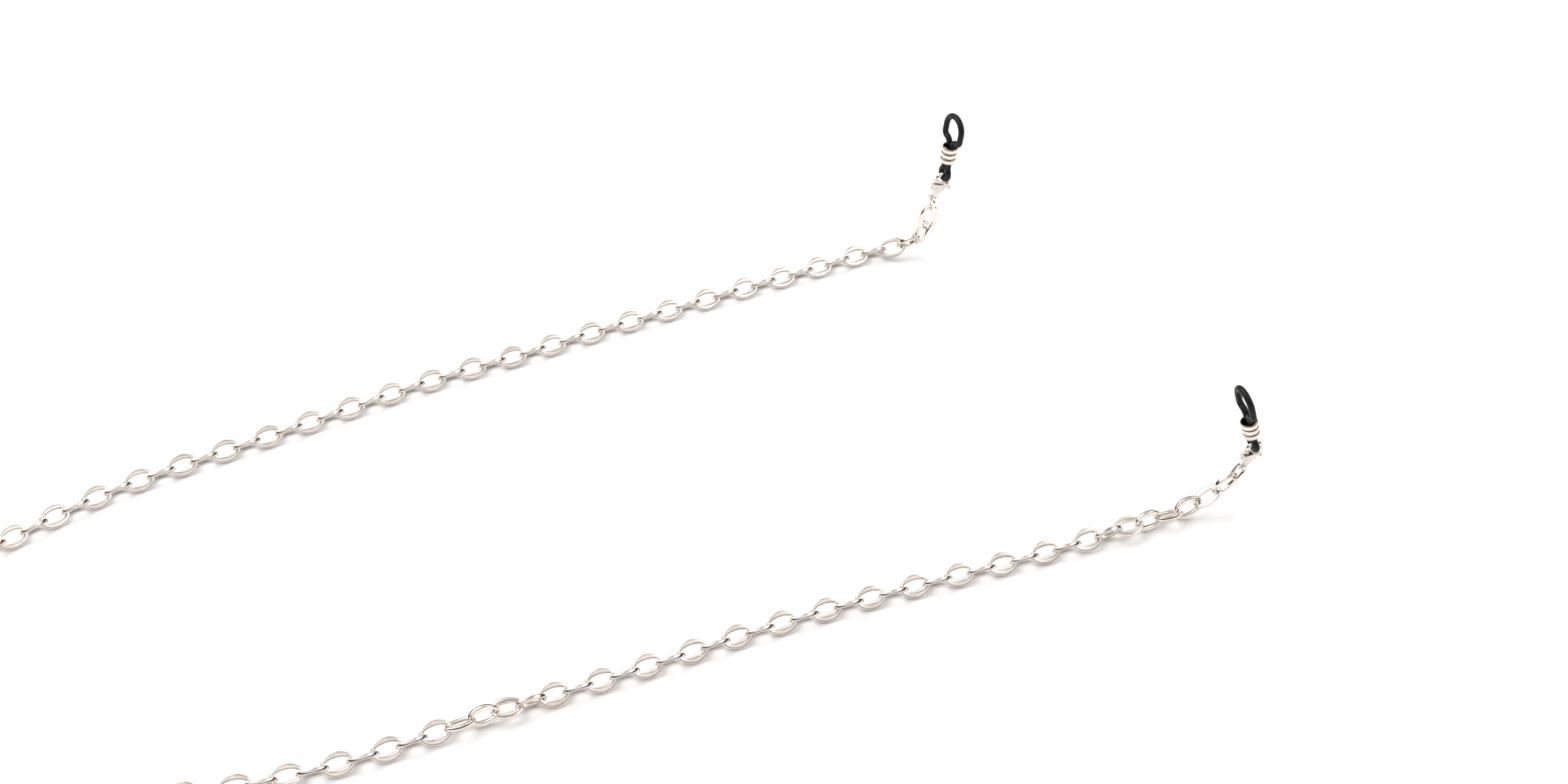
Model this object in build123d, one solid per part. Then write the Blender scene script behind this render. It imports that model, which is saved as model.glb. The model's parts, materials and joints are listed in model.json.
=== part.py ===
from build123d import *
import os
from math import atan2, cos, degrees, radians, sin

# Eyeglasses chain strap: two rubber temple loops, each pinched by a ringed barrel bead and
# hooked by a lobster clasp, joined by an oval link chain that lies on a surface in a long U.
# Millimetres.  Origin: centre of the left temple loop.  X runs towards the glasses, Y to the
# wearer's left, Z up.

# chain
PITCH = 5.7
LINK_WIRE = 1.06
LINK_GAP = 0.08
BEND_GAP = 0.85
LINK_INNER_L = PITCH + LINK_GAP
LINK_OUTER_L = LINK_INNER_L + 2 * LINK_WIRE
LINK_OUTER_W = 5.7
LINK_INNER_W = 2.84
LINK_OUTER_END_R = 2.2
LINK_INNER_END_R = 1.15
LINK_T = 1.1
LINK_ROUND = 0.42
LINK_COUNT = 121
FLOOR_Z = -43.1
CHAIN_Z = FLOOR_Z + 2.25
ROLL = 45.0
TWIST_FROM = 85
TWIST_BACK = 114
TWIST_LINKS = 5

# jump rings
RING_WIRE = 0.9
RING_INNER_L = 3.2
RING_INNER_W = 1.6
RING_SPAN = RING_INNER_L + RING_WIRE
RING_TO_LINK = (RING_WIRE + LINK_WIRE) / 2 + 0.05

# rubber loops, heights measured up from the hook wire
RUBBER_D = 1.65
BIGHT_R = 1.6
HOOK_D = 1.1
BIGHT_W = -(HOOK_D + RUBBER_D) / 2 - 0.03 + BIGHT_R
STRAND_HALF = 0.86
LEFT_BEAD_W = 6.6
RIGHT_BEAD_W = 5.6
LOOP_W = 14.6
STRAND_FROM_W = 2.5
STRAND_TO_W = 9.5
LOOP_HALF = 3.6
LOOP_SHOULDER_W = 12.4
LOOP_ARC_W = 14.4

# barrel beads
BEAD_L = 5.0
BEAD_D = 4.5
BEAD_GROOVE_D = 3.95
BEAD_BORE_D = 3.5

# lobster clasps, flat coordinates (u to the right, w up) with zero at the top of the hook
HOOK_R = 1.9
BODY_T = 1.9
SLOT_T = 0.76
LEVER_T = 0.64
PIVOT = (-1.35, -4.75)
PIVOT_D = 0.7
PIVOT_GAP = 0.04
HUB_R = 0.78
GATE_R = 2.5
GATE_GAP = 0.12
GATE_PAD_T = 1.1
NIB_R = 0.42
NIB_L = 1.3
TIP_Y = -3.0
STEM_IN = 0.5
STEM_Y = -3.75
SPRING_R = 0.6
SPRING_EYE_R = 0.38
SPRING_T = 0.2
SPRING_LEG_W = 0.22
POCKET_R = 0.68
POCKET_DEEP = 0.26
CUT = 4.0
EYE = (-0.4, -8.1)
EYE_R = 0.98
EYE_WIRE_R = 0.34
EYE_SLACK = 0.12

# how the two ends stand: hook point, leaning axis, clasp eye and face headings
LEFT_AXIS = Vector(0.127, -0.052, 1.0).normalized()
RIGHT_AXIS = Vector(-0.27, 0.05, 1.0).normalized()
LEFT_HOOK = LEFT_AXIS * -LOOP_W
RIGHT_HOOK = Vector(14.0, -126.3, -21.1)
LEFT_EYE = Vector(-4.5, 1.7, -21.7)
RIGHT_EYE = Vector(12.9, -124.7, -29.5)
CLASP_HEADING = -9.0
LEFT_LOOP_HEADING = 3.0
RIGHT_LOOP_HEADING = -6.0

# chain route: drop from the left clasp, far strand, turn, near strand, rise to the right clasp;
# the third number on the near strand lifts the chain where twisted links stand on edge
LEFT_DROP = [
    (-5.7, 1.4, -28.2), (-7.2, 2.2, -33.2), (-9.3, 4.4, -37.2), (-12.6, 7.4, -40.0),
    (-17.2, 9.2, -40.9),
]
FAR_STRAND = [
    (-22.5, 9.6), (-33.0, 9.4), (-56.0, 9.5), (-79.0, 9.3), (-101.5, 9.3), (-124.0, 8.7),
    (-147.0, 8.7), (-170.0, 7.2), (-193.0, 5.3), (-216.0, 3.8), (-238.5, 1.4), (-249.6, -1.0),
    (-260.5, -4.1),
]
NEAR_STRAND = [
    (-250.0, -104.5, 0.0), (-239.1, -107.5, 0.0), (-228.3, -109.5, 0.0), (-217.0, -111.2, 0.1),
    (-194.2, -111.9, 0.2), (-186.0, -112.0, 0.6), (-174.0, -112.2, 0.6), (-166.1, -112.3, 0.2),
    (-143.6, -113.2, 0.1), (-121.1, -113.4, 0.0), (-98.4, -114.3, 0.0), (-75.7, -116.2, 0.0),
    (-53.0, -118.6, 0.1), (-30.0, -120.4, 0.2), (-22.0, -120.9, 0.6), (-10.0, -121.4, 0.6),
]
RIGHT_RISE = [(-0.8, -121.6, -40.5), (4.7, -122.3, -38.2), (9.0, -123.6, -34.6)]
TURN_CENTRE = (-256.0, -51.8)
TURN_R = 47.0
TURN_ANGLES = (110, 135, 160, 180, 200, 225, 250)
ROUTE_STEPS = 2400


def rotated(vec, axis, angle):
    """Vector turned about an axis by an angle in degrees."""
    axis = axis.normalized()
    c = cos(radians(angle))
    s = sin(radians(angle))
    return vec * c + axis.cross(vec) * s + axis * (axis.dot(vec) * (1 - c))


def square_to(vec, axis):
    """Unit part of a vector at right angles to an axis."""
    axis = axis.normalized()
    return (vec - axis * vec.dot(axis)).normalized()


def heading(angle):
    """Level unit vector at a heading in degrees."""
    return Vector(cos(radians(angle)), sin(radians(angle)), 0)


def signed_angle(a, b, axis):
    """Angle in degrees from a to b about an axis."""
    return degrees(atan2(axis.dot(a.cross(b)), a.dot(b)))


# ---------------------------------------------------------------- clasp frames

def loop_square(axis, loop_heading):
    """Direction square to the plane of a rubber loop: the line its clasp swings about."""
    across = square_to(heading(loop_heading + 90.0), axis)
    return across.cross(axis)


def clasp_plane(hook, axis, eye):
    """Plane of a clasp: x to the right, y up the clasp, z out of its flat face."""
    # the hook bears on the bight where it is square to the rubber; the clasp swings there and
    # slides round its hook until its eye lies towards the wanted point
    right = loop_square(axis, CLASP_HEADING)
    swing = signed_angle(axis * -1, square_to(eye - hook, right), right)
    swung = rotated(axis, right, swing)
    normal = right.cross(swung)
    centre = hook - swung * HOOK_R
    wanted = signed_angle(swung * -1, square_to(eye - centre, normal), normal)
    own = degrees(atan2(EYE[0], -(EYE[1] + HOOK_R)))
    up = rotated(swung, normal, wanted - own)
    return Plane(origin=centre + up * HOOK_R, x_dir=up.cross(normal), z_dir=normal)


LEFT_PLANE = clasp_plane(LEFT_HOOK, LEFT_AXIS, LEFT_EYE)
RIGHT_PLANE = clasp_plane(RIGHT_HOOK, RIGHT_AXIS, RIGHT_EYE)


def eye_centre(plane):
    """Centre of the hole in the clasp's eye."""
    return plane.from_local_coords(Vector(EYE[0], EYE[1], 0))


# ---------------------------------------------------------------- chain route

def route_points(stretch):
    """Closely spaced points along the chain's centre line."""
    way = [LEFT_EYE, Vector(-4.9, 1.6, -24.6)]
    way += [Vector(*p) for p in LEFT_DROP]
    way += [Vector(x, y, CHAIN_Z) for x, y in FAR_STRAND]
    for a in TURN_ANGLES:
        x = TURN_CENTRE[0] + (TURN_R + stretch) * cos(radians(a))
        y = TURN_CENTRE[1] + TURN_R * sin(radians(a))
        way.append(Vector(x, y, CHAIN_Z))
    way += [Vector(x, y, CHAIN_Z + lift) for x, y, lift in NEAR_STRAND]
    way += [Vector(*p) for p in RIGHT_RISE]
    way += [RIGHT_EYE]
    line = Spline(*way)
    return [line.position_at(i / ROUTE_STEPS) for i in range(ROUTE_STEPS + 1)]


def next_on_route(points, index, start, reach):
    """First point further along the route that is at a given reach from a start point."""
    i = index
    while i < len(points) - 1 and (points[i] - start).length < reach:
        i += 1
    a = points[i - 1]
    b = points[i]
    da = (a - start).length
    db = (b - start).length
    t = (reach - da) / (db - da) if db > da else 1.0
    return a + (b - a) * t, i - 1


def lay_chain(stretch):
    """Lay rings and links along the route; returns direction and end-wire centres of each."""
    points = route_points(stretch)
    top = eye_centre(LEFT_PLANE)
    aim, index = next_on_route(points, 0, top, RING_SPAN)
    ring_dir = (aim - top).normalized()
    ring_a = top + ring_dir * EYE_SLACK
    ring_b = ring_a + ring_dir * RING_SPAN
    links = []
    wire = ring_b
    previous = ring_dir
    gap = RING_TO_LINK
    for k in range(LINK_COUNT):
        joint = wire - previous * (gap / 2)
        aim, index = next_on_route(points, index, joint, PITCH)
        ahead = (aim - joint).normalized()
        bend = previous.get_angle(ahead)
        near = wire - (previous + ahead).normalized() * (gap + BEND_GAP * bend / 90)
        far = near + ahead * (LINK_INNER_L + LINK_WIRE)
        links.append((ahead, near, far))
        wire = far
        previous = ahead
        gap = LINK_WIRE + LINK_GAP
    return (ring_dir, ring_a, ring_b), links


def right_ring(links):
    """Ring between the last link and the right clasp, and how far it misses its length by."""
    ahead, near, far = links[-1]
    target = eye_centre(RIGHT_PLANE)
    way = (target - far).normalized()
    for _ in range(4):
        start = far - (ahead + way).normalized() * RING_TO_LINK
        way = (target - start).normalized()
    end = start + way * RING_SPAN
    return (way, start, end), (target - start).length - RING_SPAN - EYE_SLACK


# the turn is stretched a little until a whole number of links closes on the right clasp
low = -12.0
high = 12.0
for _ in range(26):
    middle = (low + high) / 2
    LEFT_RING, LINKS = lay_chain(middle)
    RIGHT_RING, miss = right_ring(LINKS)
    if miss > 0:
        high = middle
    else:
        low = middle


# ---------------------------------------------------------------- link roll

def link_normals():
    """Face normal of each link: rolled half-way left and right in turn, with two slow twists."""
    normals = [None] * LINK_COUNT
    for k in range(3, LINK_COUNT - 2):
        number = k + 1
        base = -ROLL if number % 2 == 0 else ROLL
        on = min(max((number - TWIST_FROM) / TWIST_LINKS, 0.0), 1.0)
        off = min(max((number - TWIST_BACK) / TWIST_LINKS, 0.0), 1.0)
        ahead = LINKS[k][0]
        upright = square_to(Vector(0, 0, 1), ahead)
        normals[k] = rotated(upright, ahead, base + 90.0 * (on - off))
    spread_roll(normals, 3, 0, LEFT_PLANE.z_dir, 270.0)
    spread_roll(normals, LINK_COUNT - 4, LINK_COUNT - 1, RIGHT_PLANE.z_dir, 270.0)
    return normals


def spread_roll(normals, first, last, target, nominal):
    """Share the turn from one link's face to the clasp's face evenly over the links between."""
    step = 1 if last > first else -1
    carried = normals[first]
    for k in range(first + step, last + step, step):
        carried = square_to(carried, LINKS[k][0])
    axis = LINKS[last][0]
    total = signed_angle(carried, square_to(target, axis), axis)
    while total < nominal - 90:
        total += 180
    while total > nominal + 90:
        total -= 180
    carried = normals[first]
    count = abs(last - first)
    for i in range(1, count + 1):
        k = first + step * i
        carried = rotated(square_to(carried, LINKS[k][0]), LINKS[k][0], total / count)
        normals[k] = carried


NORMALS = link_normals()


# ---------------------------------------------------------------- shapes

def slab(face, thickness):
    """Flat solid from a face, its thickness shared evenly above and below."""
    return extrude(Pos(0, 0, -thickness / 2) * face, thickness)


def outline_slab(points, thickness):
    """Flat solid from the corner points of its outline."""
    return slab(make_face(Polyline(*points, close=True)), thickness)


def oval(half_length, half_width, end_r):
    """Oval face of four tangent arcs: two ends and two flatter sides."""
    middle = half_length - end_r
    side_r = (middle**2 + half_width**2 - end_r**2) / (2 * (half_width - end_r))
    reach = side_r / (side_r - end_r)
    x = middle * reach
    y = (side_r - half_width) * (reach - 1)
    arcs = [
        ThreePointArc((x, -y), (half_length, 0), (x, y)).edge(),
        ThreePointArc((x, y), (0, half_width), (-x, y)).edge(),
        ThreePointArc((-x, y), (-half_length, 0), (-x, -y)).edge(),
        ThreePointArc((-x, -y), (0, -half_width), (x, -y)).edge(),
    ]
    return make_face(arcs)


def chain_link():
    """Pressed oval link: wide crescent sides, narrow ends, flat faces and rounded edges."""
    body = slab(oval(LINK_OUTER_L / 2, LINK_OUTER_W / 2, LINK_OUTER_END_R), LINK_T)
    body -= slab(oval(LINK_INNER_L / 2, LINK_INNER_W / 2, LINK_INNER_END_R), 2 * LINK_T)
    rims = body.faces().filter_by(Axis.Z).edges()
    return fillet(rims, LINK_ROUND)


def jump_ring():
    """Small oval ring of round wire."""
    half = RING_SPAN / 2
    radius = (RING_INNER_W + RING_WIRE) / 2
    path = Wire(
        [
            Line((-half + radius, -radius), (half - radius, -radius)).edge(),
            CenterArc((half - radius, 0), radius, -90, 180).edge(),
            Line((half - radius, radius), (-half + radius, radius)).edge(),
            CenterArc((-half + radius, 0), radius, 90, 180).edge(),
        ]
    )
    start = Plane(origin=(-half + radius, -radius, 0), z_dir=(1, 0, 0))
    return sweep(start * Circle(RING_WIRE / 2), path=path, transition=Transition.RIGHT)


def s_bend(x_from, y_from, x_to, y_to):
    """Two tangent arcs that lead from one upward run to another beside it."""
    middle = ((x_from + x_to) / 2, (y_from + y_to) / 2)
    first = TangentArc((x_from, y_from), middle, tangent=(0, 1)).edge()
    turn = first.tangent_at(1)
    second = TangentArc(middle, (x_to, y_to), tangent=(turn.X, turn.Y)).edge()
    return [first, second]


def rubber_loop(hook, axis, loop_heading):
    """Closed rubber cord: bight round the hook, two strands through the bead, temple loop."""
    right = s_bend(BIGHT_R, BIGHT_W, STRAND_HALF, STRAND_FROM_W)
    right.append(Line((STRAND_HALF, STRAND_FROM_W), (STRAND_HALF, STRAND_TO_W)).edge())
    right += s_bend(STRAND_HALF, STRAND_TO_W, LOOP_HALF, LOOP_SHOULDER_W)
    right.append(Line((LOOP_HALF, LOOP_SHOULDER_W), (LOOP_HALF, LOOP_ARC_W)).edge())
    left = [edge.mirror(Plane.YZ) for edge in right]
    bight = CenterArc((0, BIGHT_W), BIGHT_R, 180, 180).edge()
    top = CenterArc((0, LOOP_ARC_W), LOOP_HALF, 0, 180).edge()
    path = Wire([bight, top] + right + left)
    start = Plane(origin=(0, BIGHT_W - BIGHT_R, 0), z_dir=(1, 0, 0))
    cord = sweep(start * Circle(RUBBER_D / 2), path=path, transition=Transition.RIGHT)
    across = square_to(heading(loop_heading + 90.0), axis)
    return placed(cord, hook, across, across.cross(axis))


def barrel_bead():
    """Barrel of three rounded rings with grooves between them, bored through."""
    ring = BEAD_L / 3
    outer = BEAD_D / 2
    inner = BEAD_BORE_D / 2
    groove = BEAD_GROOVE_D / 2
    outline = [Line((inner, -BEAD_L / 2), (groove, -BEAD_L / 2)).edge()]
    for i in range(3):
        low_w = -BEAD_L / 2 + i * ring
        outline.append(
            ThreePointArc((groove, low_w), (outer, low_w + ring / 2), (groove, low_w + ring)).edge()
        )
    outline.append(Line((groove, BEAD_L / 2), (inner, BEAD_L / 2)).edge())
    outline.append(Line((inner, BEAD_L / 2), (inner, -BEAD_L / 2)).edge())
    profile = Plane.XZ * make_face(outline)
    return revolve(profile, Axis.Z, 360)


def rounded_plate(points, thickness, corner, edge):
    """Flat plate from an outline, corners and edges rounded."""
    plate = outline_slab(points, thickness)
    plate = fillet(plate.edges().filter_by(Axis.Z), corner)
    return fillet(plate.faces().filter_by(Axis.Z).edges(), edge)


def slot_cut():
    """Space inside the clasp body in which the lever swings."""
    outline = [
        (-3.4, -2.4), (-0.9, -2.4), (-0.9, -4.15), (1.0, -3.9), (3.6, -3.6),
        (3.6, -5.6), (0.6, -5.6), (-1.3, -5.65), (-3.4, -5.65),
    ]
    return outline_slab(outline, SLOT_T)


def hook_wire():
    """Hook of the clasp: right stem, half circle over the top, short left tip."""
    path = Wire(
        [
            TangentArc((HOOK_R, -HOOK_R), (HOOK_R - STEM_IN, STEM_Y), tangent=(0, -1)).edge(),
            CenterArc((0, -HOOK_R), HOOK_R, 0, 180).edge(),
            Line((-HOOK_R, -HOOK_R), (-HOOK_R, TIP_Y)).edge(),
        ]
    )
    start = Plane(origin=path @ 0, z_dir=path % 0)
    return sweep(start * Circle(HOOK_D / 2), path=path, transition=Transition.ROUND)


def clasp_body():
    """Fixed part of the clasp: slotted body, hook and eye in one piece."""
    outline = [
        (-2.5, -3.75), (1.75, -2.75), (1.95, -3.35), (0.2, -6.9), (-1.0, -7.2), (-2.35, -5.0),
    ]
    body = rounded_plate(outline, BODY_T, 0.3, 0.3)
    reach = Pos(PIVOT[0], PIVOT[1], 0) * Cylinder(GATE_R + GATE_GAP, CUT)
    body += hook_wire() - (reach & Pos(-2.5, -3.5, 0) * Box(3.0, 5.0, CUT))
    body += Pos(EYE[0], EYE[1], 0) * Torus(EYE_R, EYE_WIRE_R)
    body -= slot_cut()
    body -= Pos(PIVOT[0], PIVOT[1], 0) * Cylinder(PIVOT_D / 2, CUT)
    return body


def clasp_lever():
    """Sprung lever: gate arm up to the hook tip, long arm across to the thumb nib."""
    hub = Pos(PIVOT[0], PIVOT[1], 0) * Cylinder(HUB_R, LEVER_T)
    gate = Pos(-1.87, -3.3, 0) * Box(1.1, 3.2, LEVER_T)
    gate += Pos(-1.87, -2.35, 0) * Box(1.1, 1.5, GATE_PAD_T)
    gate &= Pos(PIVOT[0], PIVOT[1], 0) * Cylinder(GATE_R, CUT)
    arm_points = [(-1.5, -5.35), (-1.0, -4.32), (2.75, -3.92), (2.85, -4.4), (0.4, -4.9)]
    arm = outline_slab(arm_points, LEVER_T)
    nib = Pos(2.85, -4.15, 0) * Cylinder(NIB_R, NIB_L)
    lever = hub + gate + arm + nib
    lever -= Pos(PIVOT[0], PIVOT[1], 0) * Cylinder(PIVOT_D / 2 + PIVOT_GAP, CUT)
    pocket = Pos(PIVOT[0], PIVOT[1], LEVER_T / 2) * Cylinder(POCKET_R, 2 * POCKET_DEEP)
    pocket += Pos(PIVOT[0], PIVOT[1] - PIVOT_D, LEVER_T / 2) * Box(0.9, 1.4, 2 * POCKET_DEEP)
    return lever - pocket


def clasp_rivet():
    """Pin the lever turns on, flush with both faces of the body."""
    return Pos(PIVOT[0], PIVOT[1], 0) * Cylinder(PIVOT_D / 2, BODY_T)


def lever_spring():
    """Flat coil round the pin with one leg resting on the floor of the slot."""
    level = LEVER_T / 2 - POCKET_DEEP / 2
    coil = Cylinder(SPRING_R, SPRING_T) - Cylinder(SPRING_EYE_R, SPRING_T)
    coil = Pos(PIVOT[0], PIVOT[1], level) * coil
    leg = Pos(PIVOT[0], PIVOT[1] - PIVOT_D, level) * Box(SPRING_LEG_W, 0.5, SPRING_T)
    return coil + leg


# ---------------------------------------------------------------- placing and writing

def placed(shape, origin, x_dir, z_dir):
    """Shape moved from its own axes to a plane."""
    return Plane(origin=origin, x_dir=x_dir, z_dir=z_dir).location * shape


def placed_link(shape, k):
    """Chain link at its place along the route."""
    ahead, near, far = LINKS[k]
    return placed(shape, (near + far) * 0.5, ahead, NORMALS[k])


def segment_ranges():
    """Links carried by each chain segment: single links at the clasps, threes between."""
    ranges = [(0, 1)]
    k = 1
    while k < LINK_COUNT - 3:
        ranges.append((k, k + 3))
        k += 3
    ranges.append((LINK_COUNT - 3, LINK_COUNT - 1))
    ranges.append((LINK_COUNT - 1, LINK_COUNT))
    return ranges


def write(name, shape):
    """One STEP file for each part."""
    export_step(shape, os.path.join("parts", name + ".step"))


def end_parts(side, hook, axis, bead_w, plane, loop_heading, ring, ring_normal):
    """Write the seven parts of one end of the strap."""
    write(side + "_rubber_loop", rubber_loop(hook, axis, loop_heading))
    across = square_to(heading(loop_heading), axis)
    write(side + "_barrel_bead", placed(barrel_bead(), hook + axis * bead_w, across, axis))
    write(side + "_clasp_body", plane.location * clasp_body())
    write(side + "_clasp_lever", plane.location * clasp_lever())
    write(side + "_clasp_rivet", plane.location * clasp_rivet())
    write(side + "_lever_spring", plane.location * lever_spring())
    way, a, b = ring
    write(side + "_jump_ring", placed(jump_ring(), (a + b) * 0.5, way, ring_normal))


os.makedirs("parts", exist_ok=True)

LEFT_RING_NORMAL = square_to(LEFT_PLANE.z_dir, LEFT_RING[0]).cross(LEFT_RING[0])
RIGHT_RING_NORMAL = square_to(RIGHT_PLANE.z_dir, RIGHT_RING[0]).cross(RIGHT_RING[0])

end_parts(
    "left", LEFT_HOOK, LEFT_AXIS, LEFT_BEAD_W, LEFT_PLANE, LEFT_LOOP_HEADING, LEFT_RING,
    LEFT_RING_NORMAL,
)
end_parts(
    "right", RIGHT_HOOK, RIGHT_AXIS, RIGHT_BEAD_W, RIGHT_PLANE, RIGHT_LOOP_HEADING, RIGHT_RING,
    RIGHT_RING_NORMAL,
)

link = chain_link()
for number, (first, stop) in enumerate(segment_ranges(), start=1):
    group = [placed_link(link, k) for k in range(first, stop)]
    shape = group[0] if len(group) == 1 else Compound(children=group)
    write("chain_segment_%02d" % number, shape)
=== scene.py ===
import json
from math import atan2, cos, pi, radians, sin

import bmesh
import bpy
import numpy as np
from mathutils import Matrix, Vector


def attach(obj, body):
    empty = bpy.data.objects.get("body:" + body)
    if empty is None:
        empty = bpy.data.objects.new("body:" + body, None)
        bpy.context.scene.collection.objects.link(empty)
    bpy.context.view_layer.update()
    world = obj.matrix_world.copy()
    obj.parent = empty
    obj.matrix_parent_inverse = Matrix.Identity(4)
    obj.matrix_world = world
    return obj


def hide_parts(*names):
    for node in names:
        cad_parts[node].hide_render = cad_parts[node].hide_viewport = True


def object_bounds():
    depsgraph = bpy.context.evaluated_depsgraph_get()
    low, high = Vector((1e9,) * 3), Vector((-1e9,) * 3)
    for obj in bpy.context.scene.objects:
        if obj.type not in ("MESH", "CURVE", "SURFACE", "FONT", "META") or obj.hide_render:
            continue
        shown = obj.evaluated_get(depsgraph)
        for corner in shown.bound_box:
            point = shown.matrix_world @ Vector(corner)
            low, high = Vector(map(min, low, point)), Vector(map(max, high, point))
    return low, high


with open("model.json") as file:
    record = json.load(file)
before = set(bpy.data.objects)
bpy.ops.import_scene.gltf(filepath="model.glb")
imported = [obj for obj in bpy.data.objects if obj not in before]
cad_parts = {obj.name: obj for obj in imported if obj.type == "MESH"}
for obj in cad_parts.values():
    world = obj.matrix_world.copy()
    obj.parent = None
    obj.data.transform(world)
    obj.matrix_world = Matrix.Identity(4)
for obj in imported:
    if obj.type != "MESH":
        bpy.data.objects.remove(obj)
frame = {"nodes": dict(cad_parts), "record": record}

MM = 0.001
cad_low, cad_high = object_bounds()
record = frame["record"]
joints = {joint["name"]: joint for joint in record["behaviour"]["joints"]}
slots = {part["node"]: part["material_slot"] for part in record["subparts"]}

# camera: heading from +Y towards +X and tilt below level, in degrees; place in mm
CAMERA_HEADING = 26.0
CAMERA_TILT = 38.7
CAMERA_AT = (-300.9, -512.3, 383.6)
CAMERA_LENS = 59.78

# pressed chain link, mm: half length, half width and end radius of its outer and inner ovals,
# thickness, and how square its section is along the sides and at the ends (2 is round)
LINK_OUTER = (3.95, 2.85, 2.2)
LINK_INNER = (2.89, 1.42, 1.15)
LINK_T = 1.1
LINK_SIDE_SQUARE = 4.6
LINK_END_SQUARE = 2.4

# oval jump ring of round wire, mm
RING_HALF = 2.05
RING_R = 1.25
RING_WIRE = 0.9

# rubber loop: bight round the hook, strands through the bead, temple loop; mm from the hook
RUBBER_D = 1.65
BIGHT_R = 1.6
BIGHT_W = 0.195
STRAND_HALF = 0.86
STRAND_FROM_W = 2.5
STRAND_TO_W = 9.5
LOOP_HALF = 3.6
LOOP_SHOULDER_W = 12.4
LOOP_ARC_W = 14.4

# bead of three rounded rings, mm
BEAD_L = 5.0
BEAD_R = 2.25
BEAD_GROOVE_R = 1.86
BEAD_BORE_R = 1.75
BEAD_RINGS = 3
BEAD_LIP = 0.06
BEAD_LIP_IN = 0.02
BEAD_BORE_IN = 0.1
BEAD_GROOVE_CUT = 0.03
BEAD_SWEEP = 84

# castings, mm: remesh size, rounds of smoothing, and how far the surface is drawn in
BODY_CAST = (0.06, 5, 0.01)
LEVER_CAST = (0.05, 4, 0.03)

# surface detail, cycles of noise per metre
DRIFT = 260
WAVES = 420
SMUDGE = 500
POLISH = 1500
RUBBER_GRAIN = 2200

# stage: floor half size in m and its gap under the chain in mm
FLOOR_HALF = 8.0
FLOOR_GAP = 0.02


# ---------------------------------------------------------------- camera

def make_camera():
    """Level turn from +Y towards +X, then tilted down."""
    data = bpy.data.cameras.new("camera")
    data.lens = CAMERA_LENS
    data.sensor_width = 36.0
    data.clip_start = 0.01
    data.clip_end = 20
    camera = bpy.data.objects.new("camera", data)
    bpy.context.scene.collection.objects.link(camera)
    camera.location = Vector(CAMERA_AT) * MM
    camera.rotation_euler = (radians(90 - CAMERA_TILT), 0, radians(-CAMERA_HEADING))
    bpy.context.scene.camera = camera


# ---------------------------------------------------------------- materials

def new_material(name):
    """Node material: its nodes, its links and its shader."""
    material = bpy.data.materials.new(name)
    material.use_nodes = True
    tree = material.node_tree
    return material, tree.nodes, tree.links, tree.nodes["Principled BSDF"]


def noise(nodes, links, scale, detail):
    """Noise on the object's own coordinates."""
    place = nodes.new("ShaderNodeTexCoord")
    texture = nodes.new("ShaderNodeTexNoise")
    texture.inputs["Scale"].default_value = scale
    texture.inputs["Detail"].default_value = detail
    links.new(place.outputs["Object"], texture.inputs["Vector"])
    return texture.outputs["Fac"]


def colour_ramp(nodes, links, factor, stops):
    """Colour from a factor by way of (position, colour) stops."""
    ramp = nodes.new("ShaderNodeValToRGB")
    elements = ramp.color_ramp.elements
    while len(elements) < len(stops):
        elements.new(0.5)
    for element, (position, colour) in zip(elements, stops):
        element.position = position
        element.color = (*colour, 1)
    links.new(factor, ramp.inputs["Fac"])
    return ramp.outputs["Color"]


def bumped(nodes, links, shader, height, strength, depth):
    """Bump from a height, its depth in mm."""
    bump = nodes.new("ShaderNodeBump")
    bump.inputs["Strength"].default_value = strength
    bump.inputs["Distance"].default_value = depth * MM
    links.new(height, bump.inputs["Height"])
    links.new(bump.outputs["Normal"], shader.inputs["Normal"])


def uneven_polish(nodes, links, shader, factor, low, high):
    """Roughness between two values by a factor."""
    spread = nodes.new("ShaderNodeMapRange")
    spread.inputs["To Min"].default_value = low
    spread.inputs["To Max"].default_value = high
    links.new(factor, spread.inputs["Value"])
    links.new(spread.outputs["Result"], shader.inputs["Roughness"])


def plated_metal(name, bright, dull, roughness):
    """Plated metal: slow colour drift, uneven polish, faint waviness from tumbling."""
    material, nodes, links, shader = new_material(name)
    drift = noise(nodes, links, DRIFT, 3)
    colour = colour_ramp(nodes, links, drift, [(0.35, dull), (0.6, bright)])
    links.new(colour, shader.inputs["Base Color"])
    polish = noise(nodes, links, POLISH, 5)
    uneven_polish(nodes, links, shader, polish, roughness * 0.6, roughness * 1.5)
    bumped(nodes, links, shader, noise(nodes, links, WAVES, 1), 0.2, 0.02)
    shader.inputs["Metallic"].default_value = 1.0
    return material


def bead_metal_painted_shade():
    """Polished silver rings with painted shade: the colour is darkened towards the grooves and down
    the ring flanks by how far the surface stands out.
    """
    material = plated_metal("bead_metal", (0.86, 0.8, 0.74), (0.76, 0.69, 0.62), 0.12)
    nodes = material.node_tree.nodes
    links = material.node_tree.links
    shader = nodes["Principled BSDF"]
    plate = shader.inputs["Base Color"].links[0].from_socket
    relief = nodes.new("ShaderNodeAttribute")
    relief.attribute_name = "relief"
    # painted shade: dark brown in the grooves and up the flanks of each ring, full colour only near
    # the crests
    stops = [(0.0, (0.05, 0.035, 0.028)), (0.45, (0.3, 0.24, 0.2)), (0.8, (1.0, 1.0, 1.0))]
    painted_shade = colour_ramp(nodes, links, relief.outputs["Fac"], stops)
    mix = nodes.new("ShaderNodeMixRGB")
    mix.blend_type = "MULTIPLY"
    mix.inputs["Fac"].default_value = 1.0
    links.new(plate, mix.inputs["Color1"])
    links.new(painted_shade, mix.inputs["Color2"])
    links.new(mix.outputs["Color"], shader.inputs["Base Color"])
    return material


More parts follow.
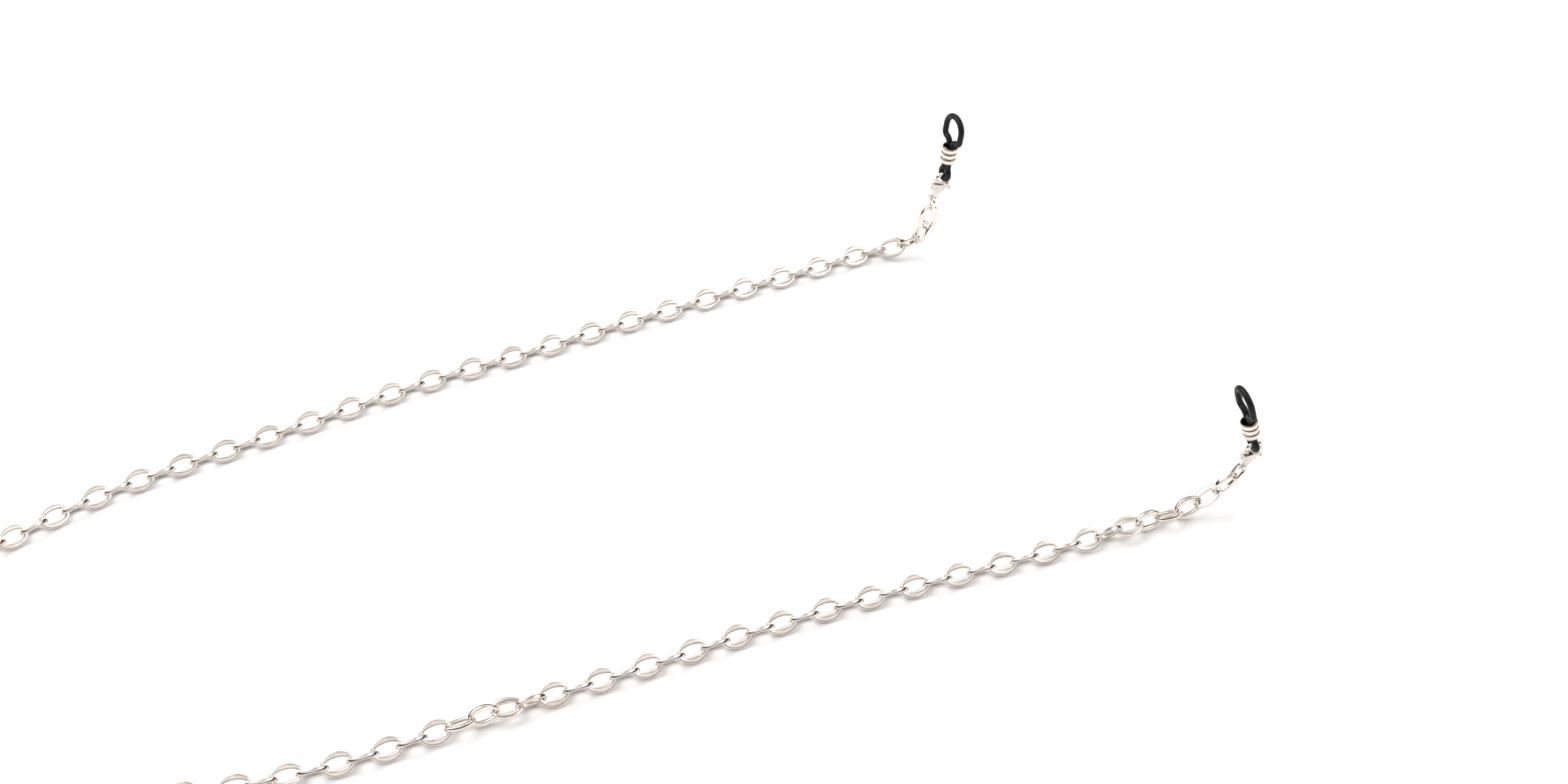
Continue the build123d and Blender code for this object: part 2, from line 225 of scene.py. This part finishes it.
def black_rubber():
    """Satin black moulded rubber with a fine grain."""
    material, nodes, links, shader = new_material("black_rubber")
    grain = noise(nodes, links, RUBBER_GRAIN, 5)
    colour = colour_ramp(
        nodes, links, grain, [(0.3, (0.002, 0.002, 0.002)), (0.7, (0.007, 0.007, 0.007))]
    )
    links.new(colour, shader.inputs["Base Color"])
    uneven_polish(nodes, links, shader, noise(nodes, links, SMUDGE, 3), 0.34, 0.55)
    shader.inputs["Specular IOR Level"].default_value = 0.25
    bumped(nodes, links, shader, grain, 0.3, 0.02)
    return material


MATERIALS = {
    "chain_metal": plated_metal("chain_metal", (0.88, 0.825, 0.77), (0.76, 0.695, 0.64), 0.12),
    "clasp_metal": plated_metal("clasp_metal", (0.8, 0.735, 0.69), (0.69, 0.62, 0.575), 0.14),
    # bead metal with painted shade in its grooves and on its ring flanks
    "bead_metal": bead_metal_painted_shade(),
    "spring_steel": plated_metal("spring_steel", (0.5, 0.5, 0.5), (0.36, 0.36, 0.36), 0.25),
    "black_rubber": black_rubber(),
}


# ---------------------------------------------------------------- mesh helpers

def piece_from(name, mesh, body, *nodes):
    """Piece that rides on a body and stands for the CAD nodes, in their finish."""
    mesh.shade_smooth()
    mesh.materials.clear()
    mesh.materials.append(MATERIALS[slots[nodes[0]]])
    piece = bpy.data.objects.new(name, mesh)
    bpy.context.scene.collection.objects.link(piece)
    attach(piece, body)
    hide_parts(*nodes)
    return piece


def ring_mesh(name, loops):
    """Mesh of closed tubes: each a stack of closed cross sections, the last joined to the first."""
    points = []
    faces = []
    for rings in loops:
        base = len(points)
        count, sides = rings.shape[:2]
        points.extend(map(tuple, rings.reshape(-1, 3) * MM))
        for i in range(count):
            for j in range(sides):
                here = base + i * sides
                ahead = base + (i + 1) % count * sides
                k = (j + 1) % sides
                faces.append((here + j, ahead + j, ahead + k, here + k))
    mesh = bpy.data.meshes.new(name)
    mesh.from_pydata(points, [], faces)
    return mesh


def set_in(rings, centre, axes):
    """Points in a piece's own axes moved to its place, mm."""
    return rings @ np.array(axes) + np.array(centre)


def islands(node):
    """Closed solids of a CAD node, each as an array of triangles in mm."""
    work = bmesh.new()
    work.from_mesh(node.data)
    bmesh.ops.remove_doubles(work, verts=work.verts, dist=1e-7)
    bmesh.ops.triangulate(work, faces=work.faces)
    waiting = set(work.faces)
    solids = []
    for seed in work.faces:
        if seed not in waiting:
            continue
        waiting.discard(seed)
        reached = [seed]
        for face in reached:
            for edge in face.edges:
                for other in edge.link_faces:
                    if other in waiting:
                        waiting.discard(other)
                        reached.append(other)
        solids.append(np.array([[v.co[:] for v in face.verts] for face in reached]) / MM)
    work.free()
    return solids


def solid_frame(triangles):
    """Centre of a closed solid and its principal axes, longest first."""
    origin = triangles.mean(axis=(0, 1))
    tri = triangles - origin
    a, b, c = tri[:, 0], tri[:, 1], tri[:, 2]
    volume = np.einsum("ij,ij->i", a, np.cross(b, c)) / 6
    total = volume.sum()
    corner_sum = a + b + c
    centre = (volume[:, None] * corner_sum).sum(axis=0) / 4 / total
    spread = sum(np.einsum("i,ij,ik->jk", volume, p, p) for p in (a, b, c, corner_sum))
    spread = spread / 20 / total - np.outer(centre, centre)
    axes = np.linalg.eigh(spread)[1].T[::-1].copy()
    axes[2] = np.cross(axes[0], axes[1])
    return origin + centre, axes


# ---------------------------------------------------------------- chain links

def oval_points(shape, turns):
    """Points of a four-arc oval where its outward normal has the given turns."""
    half_length, half_width, end_r = shape
    reach = half_length - end_r
    slack = half_width - end_r
    sink = (reach**2 - slack**2) / (2 * slack)
    side_r = half_width + sink
    quarter = np.arctan2(abs(np.sin(turns)), abs(np.cos(turns)))
    on_end = quarter <= atan2(sink, reach)
    x = np.where(on_end, reach + end_r * np.cos(quarter), side_r * np.cos(quarter))
    y = np.where(on_end, end_r * np.sin(quarter), side_r * np.sin(quarter) - sink)
    return np.stack([x * np.sign(np.cos(turns)), y * np.sign(np.sin(turns)), 0 * turns], axis=1)


def link_rings(steps=72, sides=20):
    """Cross sections of a pressed link: wide crescent sides, narrow ends, flattened faces."""
    fine = np.linspace(0, 2 * pi, 2881)
    outer = oval_points(LINK_OUTER, fine)
    inner = oval_points(LINK_INNER, fine)
    run = np.linalg.norm(np.diff((outer + inner) / 2, axis=0), axis=1)
    run = np.concatenate([[0], np.cumsum(run)])
    turns = np.interp(np.arange(steps) / steps * run[-1], run, fine)
    outer = oval_points(LINK_OUTER, turns)
    inner = oval_points(LINK_INNER, turns)
    round_angle = np.arange(sides) / sides * 2 * pi
    square = LINK_SIDE_SQUARE + (LINK_END_SQUARE - LINK_SIDE_SQUARE) * abs(np.cos(turns))
    power = 2 / square[:, None]
    across = np.sign(np.cos(round_angle)) * abs(np.cos(round_angle)) ** power
    up = np.sign(np.sin(round_angle)) * abs(np.sin(round_angle)) ** power
    middle = (outer + inner) / 2
    half = (outer - inner) / 2
    rings = middle[:, None] + half[:, None] * across[:, :, None]
    rings[:, :, 2] += up * LINK_T / 2
    return rings


def make_chain():
    """Detailed links in place of every chain segment."""
    rings = link_rings()
    for body, members in record["behaviour"]["bodies"].items():
        if not body.startswith("chain_"):
            continue
        node = members[0]
        frames = [solid_frame(solid) for solid in islands(frame["nodes"][node])]
        mesh = ring_mesh("links", [set_in(rings, centre, axes) for centre, axes in frames])
        piece_from("links_" + body[-2:], mesh, body, node)


# ---------------------------------------------------------------- end pieces

def arc_points(centre, radius, start, turn, steps):
    """Points along an arc, without its last one, angles in degrees."""
    angles = np.radians(start + turn * np.arange(steps) / steps)
    x = centre[0] + radius * np.cos(angles)
    y = centre[1] + radius * np.sin(angles)
    return np.stack([x, y], axis=1)


def run_points(a, b, steps):
    """Points along a straight run, without its last one."""
    share = np.arange(steps)[:, None] / steps
    return np.array(a) + share * (np.array(b) - np.array(a))


def s_points(a, b, steps):
    """Points along two tangent arcs from one upward run to another, without the last one."""
    dx = (b[0] - a[0]) / 2
    dy = (b[1] - a[1]) / 2
    radius = (dx**2 + dy**2) / (2 * abs(dx))
    turn = np.degrees(2 * atan2(abs(dx), dy))
    side = np.sign(dx)
    first = arc_points((a[0] + side * radius, a[1]), radius, 90 + 90 * side, -side * turn, steps)
    level = 90 - 90 * side
    last = arc_points((b[0] - side * radius, b[1]), radius, level - side * turn, side * turn, steps)
    return np.concatenate([first, last])


def tube_rings(path, radius, sides):
    """Round cross sections along a closed flat path."""
    ahead = np.roll(path, -1, axis=0) - np.roll(path, 1, axis=0)
    ahead /= np.linalg.norm(ahead, axis=1)[:, None]
    out = np.stack([ahead[:, 1], -ahead[:, 0], 0 * ahead[:, 0]], axis=1)
    middle = np.concatenate([path, 0 * path[:, :1]], axis=1)
    angle = np.arange(sides) / sides * 2 * pi
    rings = middle[:, None] + radius * out[:, None] * np.cos(angle)[None, :, None]
    rings[:, :, 2] += radius * np.sin(angle)
    return rings


def rubber_path():
    """Closed centreline of a rubber loop from the hook up: half of it, then its mirror."""
    half = np.concatenate(
        [
            arc_points((0, BIGHT_W), BIGHT_R, -90, 90, 16),
            s_points((BIGHT_R, BIGHT_W), (STRAND_HALF, STRAND_FROM_W), 8),
            run_points((STRAND_HALF, STRAND_FROM_W), (STRAND_HALF, STRAND_TO_W), 14),
            s_points((STRAND_HALF, STRAND_TO_W), (LOOP_HALF, LOOP_SHOULDER_W), 14),
            run_points((LOOP_HALF, LOOP_SHOULDER_W), (LOOP_HALF, LOOP_ARC_W), 3),
            arc_points((0, LOOP_ARC_W), LOOP_HALF, 0, 90, 24),
            [(0, LOOP_ARC_W + LOOP_HALF)],
        ]
    )
    mirror = half[::-1][1:-1] * (-1, 1)
    return np.concatenate([half, mirror])


def make_loop(side):
    """Rubber loop of one end."""
    swing = joints[side + "_clasp_swing"]
    up = np.array(joints[side + "_bead_slide"]["axis"])
    normal = np.array(swing["axis"])
    axes = [np.cross(up, normal), up, normal]
    hook = np.array(swing["pos_m"]) / MM
    rings = set_in(tube_rings(rubber_path(), RUBBER_D / 2, 24), hook, axes)
    piece_from(side + "_rubber", ring_mesh("rubber", [rings]), side + "_loop", side + "_rubber_loop")


def bead_profile():
    """Radius and height points round the bead's section: three full rings, rounded lips, bore."""
    ring = BEAD_L / BEAD_RINGS
    lip = BEAD_BORE_R + BEAD_LIP
    points = [(BEAD_BORE_R, -BEAD_L / 2 + BEAD_BORE_IN), (lip, -BEAD_L / 2 + BEAD_LIP_IN)]
    for i in range(BEAD_RINGS):
        middle = -BEAD_L / 2 + (i + 0.5) * ring
        for angle in np.radians(np.linspace(-BEAD_SWEEP, BEAD_SWEEP, 15)):
            lift = cos(angle)
            radius = BEAD_GROOVE_R + (BEAD_R - BEAD_GROOVE_R) * lift
            points.append((radius, middle + sin(angle) * ring / 2))
        if i < BEAD_RINGS - 1:
            points.append((BEAD_GROOVE_R - BEAD_GROOVE_CUT, middle + ring / 2))
    points.append((lip, BEAD_L / 2 - BEAD_LIP_IN))
    points.append((BEAD_BORE_R, BEAD_L / 2 - BEAD_BORE_IN))
    return np.array(points)


def make_bead(side):
    """Barrel bead of one end."""
    node = side + "_barrel_bead"
    centre = solid_frame(islands(frame["nodes"][node])[0])[0]
    up = np.array(joints[side + "_bead_slide"]["axis"])
    normal = np.array(joints[side + "_clasp_swing"]["axis"])
    profile = bead_profile()
    angles = np.arange(96) / 96 * 2 * pi
    rings = np.zeros((len(angles), len(profile), 3))
    rings[:, :, 0] = np.cos(angles)[:, None] * profile[None, :, 0]
    rings[:, :, 2] = np.sin(angles)[:, None] * profile[None, :, 0]
    rings[:, :, 1] = profile[None, :, 1]
    axes = [np.cross(up, normal), up, normal]
    mesh = ring_mesh("bead", [set_in(rings, centre, axes)])
    # how far the surface stands out, which the bead material turns into painted shade in the grooves
    # and on the flanks
    relief = (profile[:, 0] - BEAD_GROOVE_R) / (BEAD_R - BEAD_GROOVE_R)
    layer = mesh.attributes.new("relief", "FLOAT", "POINT")
    layer.data.foreach_set("value", np.tile(relief, len(angles)).clip(0, 1))
    piece_from(side + "_bead_rings", mesh, side + "_bead", node)


def make_jump_ring(side):
    """Oval jump ring of one end."""
    node = side + "_jump_ring"
    centre, axes = solid_frame(islands(frame["nodes"][node])[0])
    reach = RING_HALF - RING_R
    path = np.concatenate(
        [
            run_points((-reach, -RING_R), (reach, -RING_R), 8),
            arc_points((reach, 0), RING_R, -90, 180, 24),
            run_points((reach, RING_R), (-reach, RING_R), 8),
            arc_points((-reach, 0), RING_R, 90, 180, 24),
        ]
    )
    rings = set_in(tube_rings(path, RING_WIRE / 2, 20), centre, axes)
    piece_from(side + "_ring_wire", ring_mesh("ring", [rings]), side + "_ring", node)


def cast_copy(node, grain, rounds, inset):
    """Copy of a CAD solid remeshed finely, softened as a polished casting is, and drawn in."""
    centre, axes = solid_frame(islands(node)[0])
    to_own = Matrix.Translation(Vector(centre) * MM) @ Matrix(axes.tolist()).transposed().to_4x4()
    mesh = node.data.copy()
    mesh.transform(to_own.inverted())
    work = bpy.data.objects.new("work", mesh)
    bpy.context.scene.collection.objects.link(work)
    weld = work.modifiers.new("weld", "WELD")
    weld.merge_threshold = 1e-7
    remesh = work.modifiers.new("remesh", "REMESH")
    remesh.mode = "VOXEL"
    remesh.voxel_size = grain * MM
    smooth = work.modifiers.new("smooth", "SMOOTH")
    smooth.factor = 0.5
    smooth.iterations = rounds
    shrink = work.modifiers.new("shrink", "DISPLACE")
    shrink.mid_level = 0
    shrink.strength = -inset * MM
    bpy.context.view_layer.update()
    shown = work.evaluated_get(bpy.context.evaluated_depsgraph_get())
    result = bpy.data.meshes.new_from_object(shown)
    bpy.data.objects.remove(work)
    result.transform(to_own)
    return result


def make_clasp(side):
    """Cast clasp body and lever of one end."""
    nodes = frame["nodes"]
    body = cast_copy(nodes[side + "_clasp_body"], *BODY_CAST)
    piece_from(side + "_clasp_casting", body, side + "_clasp", side + "_clasp_body")
    lever = cast_copy(nodes[side + "_clasp_lever"], *LEVER_CAST)
    piece_from(side + "_lever_casting", lever, side + "_lever", side + "_clasp_lever")


# ---------------------------------------------------------------- floor and light

def make_floor():
    """Plain pale floor just under the chain."""
    half = FLOOR_HALF
    z = cad_low.z - FLOOR_GAP * MM
    mesh = bpy.data.meshes.new("floor")
    corners = [(-half, -half, z), (half, -half, z), (half, half, z), (-half, half, z)]
    mesh.from_pydata(corners, [], [(0, 1, 2, 3)])
    material, nodes, links, shader = new_material("floor")
    colour = colour_ramp(
        nodes, links, noise(nodes, links, 3, 2), [(0.3, (0.93, 0.94, 0.95)), (0.7, (0.94, 0.95, 0.96))]
    )
    links.new(colour, shader.inputs["Base Color"])
    shader.inputs["Roughness"].default_value = 0.9
    shader.inputs["Specular IOR Level"].default_value = 0.1
    mesh.materials.append(material)
    floor = bpy.data.objects.new("floor", mesh)
    bpy.context.scene.collection.objects.link(floor)


def area_light(name, aim, offset, size, watts, colour):
    """Soft box facing a point."""
    data = bpy.data.lights.new(name, "AREA")
    data.shape = "RECTANGLE"
    data.size = size[0]
    data.size_y = size[1]
    data.energy = watts
    data.color = colour
    light = bpy.data.objects.new(name, data)
    bpy.context.scene.collection.objects.link(light)
    light.location = aim + Vector(offset)
    light.rotation_euler = (-Vector(offset)).to_track_quat("-Z", "Y").to_euler()


def make_world():
    """White studio dome, dark and warm up to a third of its height and dimmer at the top."""
    world = bpy.data.worlds.new("studio")
    bpy.context.scene.world = world
    world.use_nodes = True
    nodes = world.node_tree.nodes
    links = world.node_tree.links
    place = nodes.new("ShaderNodeTexCoord")
    split = nodes.new("ShaderNodeSeparateXYZ")
    links.new(place.outputs["Generated"], split.inputs["Vector"])
    stops = [
        (0.0, (0.03, 0.02, 0.015)),
        (0.3, (0.06, 0.042, 0.032)),
        (0.42, (0.32, 0.26, 0.215)),
        (0.53, (0.95, 0.92, 0.89)),
        (0.8, (1.0, 0.99, 0.98)),
        (0.95, (0.4, 0.36, 0.33)),
    ]
    colour = colour_ramp(nodes, links, split.outputs["Z"], stops)
    links.new(colour, nodes["Background"].inputs["Color"])
    nodes["Background"].inputs["Strength"].default_value = 1.0


make_camera()
for name, node in frame["nodes"].items():
    node.data.materials.clear()
    node.data.materials.append(MATERIALS[slots[name]])
make_chain()
for side in ("left", "right"):
    make_loop(side)
    make_bead(side)
    make_jump_ring(side)
    make_clasp(side)
make_floor()
make_world()
middle = (cad_low + cad_high) / 2
area_light("key", middle, (-0.5, 0.6, 1.1), (1.5, 1.2), 16, (1.0, 1.0, 1.0))
area_light("fill", middle, (0.9, -0.5, 0.9), (0.8, 0.6), 4, (1.0, 1.0, 1.0))
bpy.context.scene.view_settings.view_transform = "Standard"
